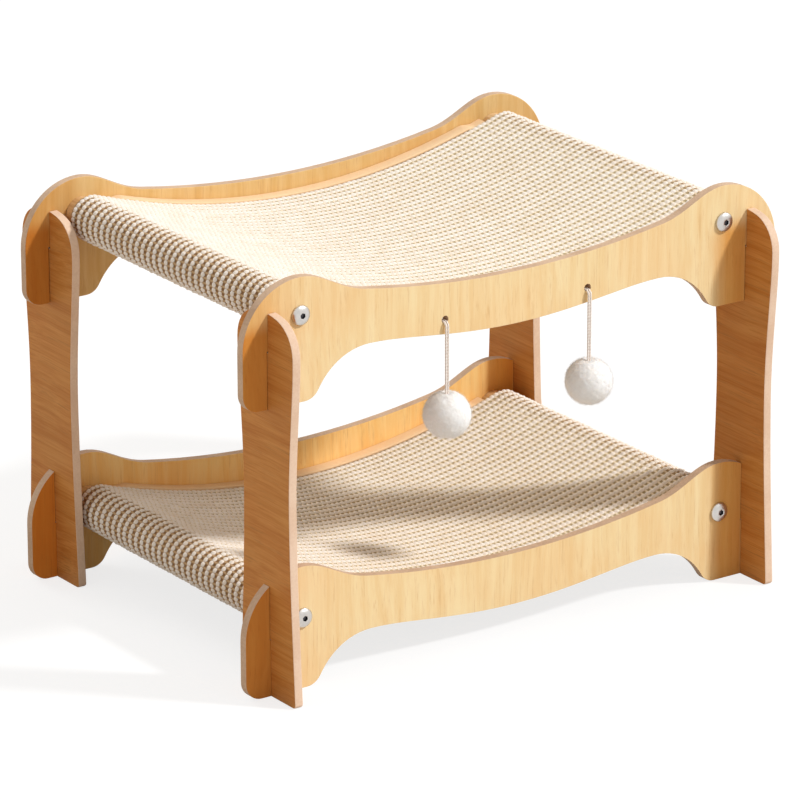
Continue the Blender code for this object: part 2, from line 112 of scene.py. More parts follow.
class Signal:
    """A socket of a recipe's nodes, with arithmetic that adds the nodes it needs."""

    def __init__(self, recipe: "Recipe", socket: Socket | None) -> None:
        """Wraps a socket of this recipe's nodes."""
        self.recipe = recipe
        self.socket = socket

    def _combined(self, operation: str, first: object, second: object) -> "Signal":
        """Adds the node that combines two values, vectors or colours.

        Args:
            operation: ADD, SUBTRACT, MULTIPLY, DIVIDE or POWER.
            first: The first operand.
            second: The second operand.

        Returns:
            The result.
        """
        kinds = {x.socket.type for x in (first, second) if isinstance(x, Signal)}
        if "RGBA" in kinds:
            settings = {"data_type": "RGBA", "blend_type": operation}
            inputs = {"Factor_Float": 1.0, "A_Color": first, "B_Color": second}
            return self.recipe.node("ShaderNodeMix", settings, inputs, "Result_Color")
        kind = "ShaderNodeVectorMath" if "VECTOR" in kinds else "ShaderNodeMath"
        return self.recipe.node(kind, {"operation": operation}, {0: first, 1: second})

    def _math(self, operation: str) -> "Signal":
        """A Math node of this value alone."""
        return self.recipe.node("ShaderNodeMath", {"operation": operation}, {0: self})

    def __add__(self, other: object) -> "Signal":
        """This plus the other."""
        return self._combined("ADD", self, other)

    def __radd__(self, other: object) -> "Signal":
        """The other plus this."""
        return self._combined("ADD", other, self)

    def __sub__(self, other: object) -> "Signal":
        """This minus the other."""
        return self._combined("SUBTRACT", self, other)

    def __rsub__(self, other: object) -> "Signal":
        """The other minus this."""
        return self._combined("SUBTRACT", other, self)

    def __mul__(self, other: object) -> "Signal":
        """This times the other."""
        return self._combined("MULTIPLY", self, other)

    def __rmul__(self, other: object) -> "Signal":
        """The other times this."""
        return self._combined("MULTIPLY", other, self)

    def __truediv__(self, other: object) -> "Signal":
        """This over the other."""
        return self._combined("DIVIDE", self, other)

    def __pow__(self, other: object) -> "Signal":
        """This to the power of the other."""
        return self._combined("POWER", self, other)

    def __abs__(self) -> "Signal":
        """This without its sign."""
        return self._math("ABSOLUTE")

    def sine(self) -> "Signal":
        """The sine of this value."""
        return self._math("SINE")

    def off_middle(self) -> "Signal":
        """How far this value is from the middle between two whole numbers, from 0 to 0.5."""
        return abs(self._math("FRACT") - 0.5)

    def between(self, low: float, high: float) -> "Signal":
        """Rises smoothly from 0 at low to 1 at high.

        Args:
            low: Where it leaves 0.
            high: Where it reaches 1, which may be below low.

        Returns:
            A value from 0 to 1.
        """
        settings = {"interpolation_type": "SMOOTHSTEP"}
        inputs = {"Value": self, "From Min": low, "From Max": high}
        return self.recipe.node("ShaderNodeMapRange", settings, inputs, "Result")

    def part(self, axis: str) -> "Signal":
        """One component, X, Y or Z, of this vector."""
        return self.recipe.node("ShaderNodeSeparateXYZ", None, {"Vector": self}, axis)

    def blended(self, start: object, end: object) -> "Signal":
        """Mixes two colours by this value.

        Args:
            start: The colour at 0.
            end: The colour at 1.

        Returns:
            The mixed colour.
        """
        settings = {"data_type": "RGBA", "blend_type": "MIX"}
        inputs = {"Factor_Float": self, "A_Color": start, "B_Color": end}
        return self.recipe.node("ShaderNodeMix", settings, inputs, "Result_Color")


class Recipe:
    """The nodes of a material or of the world, under construction."""

    def __init__(self, owner: Material | bpy.types.World) -> None:
        """Starts without any nodes.

        Args:
            owner: The material or the world that the nodes belong to.
        """
        self.owner = owner
        owner.use_nodes = True
        self.tree = owner.node_tree
        self.tree.nodes.clear()

    def _socket(self, sockets: Sequence[Socket], key: str | int) -> Socket:
        """Finds a node's socket by its place, its identifier or its name."""
        named = (s for s in sockets if key in (s.identifier, s.name))
        return sockets[key] if isinstance(key, int) else next(named)

    def _set(self, socket: Socket, value: object) -> None:
        """Links a signal to a socket, or writes a plain value on it.

        Args:
            socket: The input.
            value: A signal, a number, a vector or a colour.
        """
        if isinstance(value, Signal):
            self.tree.links.new(value.socket, socket)
        elif socket.type == "RGBA":
            color = value if isinstance(value, tuple) else (value,) * 3
            socket.default_value = (*color, 1.0)
        elif socket.type == "VECTOR" and isinstance(value, (int, float)):
            socket.default_value = (value,) * 3
        else:
            socket.default_value = value

    def node(
        self,
        kind: str,
        settings: Mapping[str, object] | None = None,
        inputs: Mapping[str | int, object] | None = None,
        output: str | int = 0,
    ) -> Signal:
        """Adds any node.

        Args:
            kind: The node's type.
            settings: Its settings, such as an operation, which are set first.
            inputs: The values or signals of its sockets.
            output: The socket that is wanted of it.

        Returns:
            That output socket, or an empty signal for a node without outputs.
        """
        made = self.tree.nodes.new(kind)
        for name, value in (settings or {}).items():
            setattr(made, name, value)
        for key, value in (inputs or {}).items():
            self._set(self._socket(made.inputs, key), value)
        return Signal(self, self._socket(made.outputs, output) if len(made.outputs) else None)

    def place(self) -> Signal:
        """The point's own place on the object, in metres."""
        return self.node("ShaderNodeTexCoord", None, None, "Object")

    def facing(self) -> Signal:
        """The direction that the surface faces in, before any bump."""
        return self.node("ShaderNodeTexCoord", None, None, "Normal")

    def stored(self, name: str) -> Signal:
        """A vector that the mesh stores for each point."""
        return self.node("ShaderNodeAttribute", {"attribute_name": name}, None, "Vector")

    def shown(self) -> Signal:
        """Tells what is seen from what only lights.

        Returns:
            1 for a ray from the camera, from a gloss or through glass, and otherwise 0.
        """
        kinds = ("Is Camera Ray", "Is Glossy Ray", "Is Transmission Ray")
        camera, gloss, glass = (self.node("ShaderNodeLightPath", None, None, k) for k in kinds)
        return camera + gloss + glass

    def noise(
        self, where: Signal, scale: float, detail: float = 3.0, roughness: float = 0.5
    ) -> Signal:
        """Noise from 0 to 1, with scale features in a metre and detail finer layers."""
        inputs = {"Vector": where, "Scale": scale, "Detail": detail, "Roughness": roughness}
        return self.node("ShaderNodeTexNoise", None, inputs)

    def bump(self, height: Signal, depth: float, strength: float) -> Signal:
        """The normal of a relief from 0 to 1 that is depth metres deep."""
        inputs = {"Height": height, "Distance": depth, "Strength": strength}
        return self.node("ShaderNodeBump", None, inputs, "Normal")

    def surface(self, shader: Signal) -> None:
        """Adds the output node, which shows this shader."""
        kind = "World" if isinstance(self.owner, bpy.types.World) else "Material"
        self.node(f"ShaderNodeOutput{kind}", None, {"Surface": shader})

    def finished(self, **sockets: object) -> Material:
        """Adds the main shader and the output.

        Args:
            **sockets: The shader's inputs, named with _ for a space.

        Returns:
            The material.
        """
        inputs = {name.replace("_", " "): value for name, value in sockets.items()}
        self.surface(self.node("ShaderNodeBsdfPrincipled", None, inputs, "BSDF"))
        return self.owner


class Finish(ABC):
    """A finish that is made into one material, shared by all the pieces that wear it."""

    name: str
    made: ClassVar[dict[str, Material]] = {}

    @abstractmethod
    def _mixed(self, recipe: Recipe) -> Material:
        """Builds the finish's nodes in a fresh material."""

    def material(self) -> Material:
        """Gives the finish's material, made when it is first asked for.

        Returns:
            The material.
        """
        if self.name not in Finish.made:
            recipe = Recipe(bpy.data.materials.new(self.name))
            Finish.made[self.name] = self._mixed(recipe)
        return Finish.made[self.name]


@dataclass(frozen=True)
class Veneer(Finish):
    """Maple veneer with a matt seal: soft bands, fine lines and pores along its grain.

    Where shade is painted, its left end is browner with painted shade, and its forward faces in the
    corners beside the legs, below the legs' domes, are browner with the legs' painted shadow.
    """

    name: str
    grain: Grain
    pale: Rgb = from_screen(245, 223, 176)
    warm: Rgb = from_screen(238, 208, 155)
    pore: Rgb = from_screen(208, 156, 96)
    patch: Rgb = from_screen(254, 246, 240)
    end_tan: Rgb = from_screen(240, 216, 182)
    corner_shade: Rgb = from_screen(234, 194, 140)
    shade_painted: bool = False
    band_share: float = 0.7
    line_depth: float = 0.24
    pore_depth: float = 0.24
    wander: float = 0.012
    band_scale: float = 150.0
    line_scale: float = 620.0
    pore_scale: float = 1500.0
    left_end: Span = (-0.19, -0.252)
    left_corner: Span = (-0.2215, -0.2285)
    right_corner: Span = (0.182, 0.208)
    right_leg: Span = (0.2285, 0.2215)
    dome: Span = (0.306, 0.290)
    forward: Span = (-0.3, -0.7)

    def _painted_shade(self, recipe: Recipe, color: Signal) -> Signal:
        """Paints shade on the left end and the legs' shadow in the corners.

        Args:
            recipe: The veneer's nodes.
            color: The even colour.

        Returns:
            The aged colour.
        """
        along = recipe.place().part("X")
        height = recipe.place().part("Z").between(*self.dome)
        forward = recipe.facing().part("Y").between(*self.forward)
        # Painted shadow of the legs: forward faces just left of each leg, below its dome.
        right_corner = along.between(*self.right_corner) * along.between(*self.right_leg)
        corner = (right_corner + along.between(*self.left_corner)) * height * forward
        # Painted shade, browner towards the left end.
        color = along.between(*self.left_end).blended(color, color * self.end_tan)
        return corner.blended(color, color * self.corner_shade)

    def _mixed(self, recipe: Recipe) -> Material:
        """Builds the veneer's nodes.

        Args:
            recipe: The fresh material's nodes.

        Returns:
            The material.
        """
        stretched = recipe.place() * self.grain.value
        wander = recipe.noise(recipe.place(), 11.0, 1.0) * self.wander
        bands = recipe.noise(stretched + wander, self.band_scale, 3.0, 0.55)
        lines = recipe.noise(stretched + wander * 0.5, self.line_scale, 3.0, 0.6)
        pores = recipe.noise(stretched * 2.2, self.pore_scale, 2.0, 0.7)
        patches = recipe.noise(recipe.place(), 16.0, 2.0)
        figure = bands * self.band_share + lines * (1.0 - self.band_share)
        color = figure.between(0.34, 0.66).blended(self.warm, self.pale)
        color = patches.between(0.3, 0.75).blended(color, color * self.patch)
        color = (lines.between(0.54, 0.70) * self.line_depth).blended(color, self.pore)
        color = ((lines * pores).between(0.27, 0.42) * self.pore_depth).blended(color, self.pore)
        return recipe.finished(
            Base_Color=self._painted_shade(recipe, color) if self.shade_painted else color,
            Roughness=0.46 + lines * 0.16,
            Normal=recipe.bump(lines * 0.6 + pores * 0.4, 0.00006, 0.5),
            Specular_IOR_Level=0.16,
        )


@dataclass(frozen=True)
class SawnEdge(Finish):
    """A board's sawn and sealed edge: plain, with faint fibres."""

    name: str
    pale: Rgb
    dull: Rgb

    def _mixed(self, recipe: Recipe) -> Material:
        """Builds the edge's nodes.

        Args:
            recipe: The fresh material's nodes.

        Returns:
            The material.
        """
        fibres = recipe.noise(recipe.place(), 520.0, 3.0, 0.6)
        blotches = recipe.noise(recipe.place(), 38.0, 2.0)
        mottle = (fibres * 0.5 + blotches * 0.5).between(0.35, 0.65)
        return recipe.finished(
            Base_Color=mottle.blended(self.dull, self.pale),
            Roughness=0.58 + fibres * 0.14,
            Normal=recipe.bump(fibres, 0.00012, 0.5),
            Specular_IOR_Level=0.2,
        )


@dataclass(frozen=True)
class SisalWeave(Finish):
    """Cream sisal ribs over khaki weft, with browner weft, bars and ground on the rolls as painted
    shade.

    The reaches are half-widths of a bead and of the weft, in shares of a bead's length and of
    the way from rib to rib. The mesh takes its relief from the same ones.
    """

    name: str = "sisal_weave"
    rib: Rgb = from_screen(248, 241, 234)
    weft: Rgb = from_screen(246, 232, 206)
    bar: Rgb = from_screen(206, 190, 156)
    gap: Rgb = from_screen(186, 168, 132)
    shaded_roll_weft: Rgb = from_screen(200, 168, 128)
    shaded_roll_bar: Rgb = from_screen(156, 122, 82)
    shaded_roll_gap: Rgb = from_screen(144, 109, 72)
    fibre: Rgb = from_screen(220, 204, 178)
    patch: Rgb = from_screen(250, 246, 240)
    rib_reach: float = 0.31
    bent_reach: float = 0.26
    bead_reach: float = 0.60
    weft_reach: float = 0.24
    bar_depth: float = 0.62
    fibre_depth: float = 0.18

    def _mixed(self, recipe: Recipe) -> Material:
        """Builds the weave's nodes from what the mesh stores: beads along and ribs across.

        Args:
            recipe: The fresh material's nodes.

        Returns:
            The material.
        """
        weave = recipe.stored("weave")
        along = weave.part("X").off_middle()
        across = weave.part("Y").off_middle()
        bent_and_shaded = weave.part("Z")
        reach = self.rib_reach - bent_and_shaded * (self.rib_reach - self.bent_reach)
        bead = 1.0 - (across / reach) ** 2.0 - (along / self.bead_reach) ** 2.0
        weft = 1.0 - ((0.5 - along) / self.weft_reach) ** 2.0
        crossing = (0.5 - along).between(0.085, 0.02) * across.between(0.34, 0.16)
        twist = ((weave.part("X") * 22.0 + weave.part("Y") * 30.0).sine() + 1.0) * 0.5
        fibres = recipe.noise(weave * (1.0, 5.0, 1.0), 9.0, 3.0, 0.7)
        patches = recipe.noise(recipe.place(), 60.0, 3.0)
        # On the rolls the ground, weft and bars take browner colours: painted shade, not the sisal's
        # own.
        ground = bent_and_shaded.blended(self.gap, self.shaded_roll_gap)
        color = weft.between(-0.1, 0.6).blended(ground, bent_and_shaded.blended(self.weft, self.shaded_roll_weft))
        color = bead.between(-0.05, 0.22).blended(color, self.rib)
        bar = bent_and_shaded.blended(self.bar, self.shaded_roll_bar)
        color = (crossing * self.bar_depth).blended(color, bar)
        fibre_share = fibres.between(0.35, 0.7) * self.fibre_depth
        color = fibre_share.blended(color, color * self.fibre)
        color = patches.between(0.25, 0.75).blended(color, color * self.patch)
        return recipe.finished(
            Base_Color=color,
            Roughness=0.82 + fibres * 0.12,
            Normal=recipe.bump(twist * 0.4 + fibres * 0.6, 0.0003, 0.6),
            Specular_IOR_Level=0.4,
        )


@dataclass(frozen=True)
class WovenCloth(Finish):
    """Plain woven cloth, such as a tape or a canvas, with this many threads in a metre."""

    name: str
    light: Rgb
    dark: Rgb
    threads: float

    def _mixed(self, recipe: Recipe) -> Material:
        """Builds the cloth's nodes from the along and across that the mesh stores.

        Args:
            recipe: The fresh material's nodes.

        Returns:
            The material.
        """
        weave = recipe.stored("weave")
        turn = 2 * math.pi * self.threads
        warp = (weave.part("X") * turn).sine()
        weft = (weave.part("Y") * turn).sine()
        thread = (warp * weft * 0.5 + 0.5).between(0.15, 0.85)
        slub = recipe.noise(weave * (0.2, 1.0, 1.0), 900.0, 3.0, 0.6)
        patches = recipe.noise(recipe.place(), 45.0, 2.0)
        tone = (thread * 0.45 + slub * 0.3 + patches * 0.25).between(0.25, 0.75)
        return recipe.finished(
            Base_Color=tone.blended(self.dark, self.light),
            Roughness=0.80 + slub * 0.12,
            Normal=recipe.bump(thread * 0.7 + slub * 0.3, 0.00022, 0.6),
            Specular_IOR_Level=0.3,
        )


@dataclass(frozen=True)
class TurnedPine(Finish):
    """Bare turned pine, its rings showing on the ends."""

    name: str = "turned_pine"
    early: Rgb = from_screen(236, 206, 160)
    late: Rgb = from_screen(206, 160, 106)

    def _mixed(self, recipe: Recipe) -> Material:
        """Builds the pine's nodes.

        Args:
            recipe: The fresh material's nodes.

        Returns:
            The material.
        """
        stretched = recipe.place() * Grain.ACROSS.value
        rings = recipe.noise(stretched, 160.0, 3.0, 0.55)
        fibres = recipe.noise(stretched, 900.0, 3.0, 0.6)
        tone = (rings * 0.7 + fibres * 0.3).between(0.35, 0.68)
        return recipe.finished(
            Base_Color=tone.blended(self.late, self.early),
            Roughness=0.55 + fibres * 0.15,
            Normal=recipe.bump(rings * 0.3 + fibres * 0.7, 0.0001, 0.5),
        )


@dataclass(frozen=True)
class PlatedMetal(Finish):
    """Plated steel with fine marks from its polishing."""

    name: str
    color: Rgb
    roughness: float
    haze_share: float = 0.9

    def _mixed(self, recipe: Recipe) -> Material:
        """Builds the plating's nodes.

        Args:
            recipe: The fresh material's nodes.

        Returns:
            The material.
        """
        marks = recipe.noise(recipe.place() * (1.0, 1.0, 0.3), 1500.0, 3.0, 0.6)
        haze = recipe.noise(recipe.place(), 300.0, 2.0)
        dimmed = tuple(self.haze_share * c for c in self.color)
        return recipe.finished(
            Base_Color=haze.between(0.3, 0.8).blended(self.color, dimmed),
            Metallic=1.0,
            Roughness=self.roughness + marks * 0.10,
            Normal=recipe.bump(marks, 0.00003, 0.4),
        )


@dataclass(frozen=True)
class WoolFelt(Finish):
    """White felted wool, softly mottled and fuzzy."""

    name: str = "wool_felt"
    pale: Rgb = from_screen(255, 254, 254)
    mottle: Rgb = from_screen(251, 249, 249)

    def _mixed(self, recipe: Recipe) -> Material:
        """Builds the felt's nodes.

        Args:
            recipe: The fresh material's nodes.

        Returns:
            The material.
        """
        tufts = recipe.noise(recipe.place(), 520.0, 3.0, 0.6)
        fuzz = recipe.noise(recipe.place(), 2200.0, 3.0, 0.7)
        tone = (tufts * 0.7 + fuzz * 0.3).between(0.34, 0.6)
        return recipe.finished(
            Base_Color=tone.blended(self.mottle, self.pale),
            Roughness=0.94 + fuzz * 0.06,
            Normal=recipe.bump(tufts * 0.6 + fuzz * 0.4, 0.0006, 0.8),
            Specular_IOR_Level=0.3,
            Subsurface_Weight=1.0,
            Subsurface_Radius=(1.0, 0.95, 0.9),
            Subsurface_Scale=0.005,
        )


@dataclass(frozen=True)
class TwistedCotton(Finish):
    """Soft off-white cotton string, with painted shade between its plies."""

    name: str = "twisted_cotton"
    pale: Rgb = from_screen(244, 236, 230)
    groove_shade: Rgb = from_screen(208, 194, 182)

    def _mixed(self, recipe: Recipe) -> Material:
        """Builds the string's nodes from the along, around and height that the mesh stores.

        Args:
            recipe: The fresh material's nodes.

        Returns:
            The material.
        """
        height = recipe.stored("weave").part("Z")
        fibres = recipe.noise(recipe.place(), 2600.0, 3.0, 0.7)
        # Darker where the ply surface is low: painted shade in the grooves between the plies.
        tone = (height * 0.75 + fibres * 0.25).between(0.2, 0.7)
        return recipe.finished(
            Base_Color=tone.blended(self.groove_shade, self.pale),
            Roughness=0.85 + fibres * 0.1,
            Normal=recipe.bump(fibres, 0.00015, 0.5),
            Specular_IOR_Level=0.6,
        )


BOLT_CHROME = PlatedMetal("bolt_chrome", from_screen(212, 208, 203), 0.28)
# A darker, rougher metal on the socket's walls and floor.
SOCKET_DARK = PlatedMetal("socket_oxide", from_screen(88, 86, 90), 0.42)
INSERT_ZINC = PlatedMetal("insert_zinc", from_screen(206, 200, 184), 0.38)
EDGE_TAPE = WovenCloth("edge_tape", from_screen(250, 222, 184), from_screen(240, 200, 152), 900.0)
BACKING_CANVAS = WovenCloth(
    "backing_canvas", from_screen(226, 204, 164), from_screen(186, 160, 118), 520.0
)
PANEL_EDGE = SawnEdge("panel_edge", from_screen(208, 178, 150), from_screen(190, 158, 130))
LEG_EDGE = SawnEdge("leg_edge", from_screen(232, 204, 180), from_screen(222, 190, 164))
SIDE_VENEER = Veneer("side_veneer", Grain.UPRIGHT, shade_painted=True)
# A browner copy of the maple veneer: painted shade, its colours taken from the legs' faces in shade.
SHADED_LEG_VENEER = Veneer(
    "leg_veneer",
    Grain.ACROSS,
    from_screen(208, 146, 78),
    from_screen(181, 113, 47),
    from_screen(136, 76, 27),
    line_depth=0.40,
    pore_depth=0.16,
    band_share=0.4,
)
BACK_VENEERS = {
    Tier.UPPER: Veneer(
        "upper_back_veneer",
        Grain.UPRIGHT,
        from_screen(226, 194, 137),
        from_screen(217, 177, 113),
        from_screen(190, 132, 72),
        shade_painted=True,
    ),
    Tier.LOWER: Veneer(
        "lower_back_veneer",
        Grain.UPRIGHT,
        from_screen(251, 215, 148),
        from_screen(246, 198, 123),
        from_screen(208, 144, 78),
        shade_painted=True,
    ),
}


def linked(name: str, mesh: Mesh, *finishes: Finish) -> Piece:
    """Puts a mesh into the scene.

    Args:
        name: The piece's name.
        mesh: Its mesh.
        *finishes: The finish of each material slot.

    Returns:
        The piece.
    """
    piece = bpy.data.objects.new(name, mesh)
    bpy.context.scene.collection.objects.link(piece)
    for finish in finishes:
        mesh.materials.append(finish.material())
    return piece


def settled(piece: Piece, body: str, slot: str, *nodes: str) -> Piece:
    """Lets a piece stand for its CAD nodes and ride on their body.

    Args:
        piece: The finished piece.
        body: The CAD body it rides on.
        slot: The record's material slot; not used.
        *nodes: The CAD nodes that it stands for.

    Returns:
        The piece.
    """
    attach(piece, body)
    if nodes:
        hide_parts(*nodes)
    LOG.info("%s: %d faces, on %s", piece.name, len(piece.data.polygons), body)
    return piece


def eased(share: np.ndarray) -> np.ndarray:
    """Keeps shares from 0 to 1, and rounds off their start and end."""
    share = np.clip(share, 0.0, 1.0)
    return share * share * (3 - 2 * share)


def sheet_of_points(
    name: str, points: np.ndarray, weave: np.ndarray | None = None, around: bool = False
) -> Mesh:
    """A mesh of four-sided faces over a grid of points.

    Args:
        name: The mesh's name.
        points: Rows by columns by three coordinates.
        weave: Three values to store at each point, laid out as the points are.
        around: Whether the last column joins the first.

    Returns:
        The mesh, shaded smooth.
    """
    rows, columns = points.shape[:2]
    index = np.arange(rows * columns).reshape(rows, columns)
    beside = np.roll(index, -1, axis=1) if around else index[:, 1:]
    here = index if around else index[:, :-1]
    quads = np.stack([here[:-1], beside[:-1], beside[1:], here[1:]], -1).reshape(-1, 4)
    mesh = bpy.data.meshes.new(name)
    mesh.vertices.add(rows * columns)
    mesh.vertices.foreach_set("co", points.astype(np.float32).ravel())
    mesh.loops.add(quads.size)
    mesh.loops.foreach_set("vertex_index", quads.astype(np.int32).ravel())
    mesh.polygons.add(len(quads))
    mesh.polygons.foreach_set("loop_start", np.arange(0, quads.size, 4, dtype=np.int32))
    mesh.update(calc_edges=True)
    if weave is not None:
        stored = mesh.attributes.new("weave", "FLOAT_VECTOR", "POINT")
        stored.data.foreach_set("vector", weave.astype(np.float32).ravel())
    mesh.shade_smooth()
    return mesh


def capped(mesh: Mesh, sharp_angle: float) -> Mesh:
    """Closes a mesh's open rims, turns its faces outward, and keeps its corners sharp.

    Args:
        mesh: The open mesh.
        sharp_angle: Edges that turn by more degrees than this stay sharp.

    Returns:
        The same mesh.
    """
    bm = bmesh.new()
    bm.from_mesh(mesh)
    rim = [e for e in bm.edges if e.is_boundary]
    if rim:
        bmesh.ops.holes_fill(bm, edges=rim, sides=0)
    bmesh.ops.recalc_face_normals(bm, faces=bm.faces)
    bm.to_mesh(mesh)
    bm.free()
    mesh.shade_smooth()
    mesh.set_sharp_from_angle(angle=math.radians(sharp_angle))
    return mesh


def tube(name: str, path: Sequence[Vector], ring: Callable[[float], Sequence[Span]]) -> Mesh:
    """A closed tube along a path.

    Args:
        name: The mesh's name.
        path: The ring centres.
        ring: Gives a ring's (radius, angle) points for a distance along the path.

    Returns:
        The mesh, which stores along, around and height on the ply as its weave.
    """
    ply_low, ply_rise = 0.7, 0.3
    last = len(path) - 1
    along = [0.0]
    for start, end in zip(path, path[1:]):
        along.append(along[-1] + (end - start).length)
    tangents = [(path[min(i + 1, last)] - path[max(i - 1, 0)]).normalized() for i in range(last + 1)]
    side = tangents[0].orthogonal().normalized()
    rows, stored = [], []
    for centre, tangent, far in zip(path, tangents, along):
        side = (side - tangent * side.dot(tangent)).normalized()
        up = tangent.cross(side)
        points = ring(far)
        most = max(radius for radius, _ in points)
        rows.append([centre + (side * math.cos(a) + up * math.sin(a)) * r for r, a in points])
        stored.append([(far, a, (r / most - ply_low) / ply_rise) for r, a in points])
    return capped(sheet_of_points(name, np.array(rows), np.array(stored), around=True), 70.0)


@dataclass
class SlottedBoards:
    """The four side boards and the four legs: veneered faces and sealed, softened edges."""

    soften: float = 0.0008
    soften_steps: int = 2
    weld: float = 1e-5
    flat_angle: float = math.radians(0.6)
    corner_angle: float = math.radians(35)
    sharp_angle: float = math.radians(50)
    face_share: float = 0.9

    def _softened(self, name: str, node: str, face_axis: int) -> Mesh:
        """A node's board with its corners softened.

        Args:
            name: The mesh's name.
            node: The CAD node.
            face_axis: The axis that the board's broad faces look along.

        Returns:
            A mesh whose broad faces are in slot 0 and whose edges are in slot 1.
        """
        bm = bmesh.new()
        bm.from_mesh(frame["nodes"][node].data)
        bmesh.ops.remove_doubles(bm, verts=bm.verts, dist=self.weld)
        bmesh.ops.dissolve_limit(
            bm,
            angle_limit=self.flat_angle,
            use_dissolve_boundaries=False,
            verts=bm.verts,
            edges=bm.edges,
        )
        bm.normal_update()
        closed = [e for e in bm.edges if len(e.link_faces) == 2 and e.is_convex]
        bmesh.ops.bevel(
            bm,
            geom=[e for e in closed if e.calc_face_angle(0.0) > self.corner_angle],
            offset=self.soften,
            offset_type="OFFSET",
            segments=self.soften_steps,
            profile=0.5,
            affect="EDGES",
            clamp_overlap=True,
            loop_slide=True,
        )
        bmesh.ops.recalc_face_normals(bm, faces=bm.faces)
        for face in bm.faces:
            face.material_index = 0 if abs(face.normal[face_axis]) > self.face_share else 1
        mesh = bpy.data.meshes.new(name)
        bm.to_mesh(mesh)
        bm.free()
        mesh.shade_smooth()
        mesh.set_sharp_from_angle(angle=self.sharp_angle)
        return mesh

    def _board(
        self, name: str, node: str, face_axis: int, slot: str, face: Finish, edge: Finish
    ) -> None:
        """Builds and settles one board.

        Args:
            name: The board's name.
            node: The CAD node that it stands for.
            face_axis: The axis that its broad faces look along.
            slot: The record's material slot.
            face: The finish of its broad faces.
            edge: The finish of its edges.
        """
        piece = linked(name, self._softened(name, node, face_axis), face, edge)
        weighted = piece.modifiers.new("even_shading", "WEIGHTED_NORMAL")
        weighted.keep_sharp = True
        settled(piece, "bed", slot, node)

    def build(self) -> None:
        """Builds all eight boards."""
        for tier in Tier:
            for side, face in ((Side.FRONT, SIDE_VENEER), (Side.BACK, BACK_VENEERS[tier])):
                where = f"{tier.value}_{side.name.lower()}"
                slot = f"{side.name.lower()}_boards"
                self._board(f"{where}_panel", f"{where}_board", 1, slot, face, PANEL_EDGE)
        for side in Side:
            for end in End:
                where = f"{side.name.lower()}_{end.name.lower()}"
                self._board(f"{where}_upright", f"{where}_leg", 0, "legs", SHADED_LEG_VENEER, LEG_EDGE)


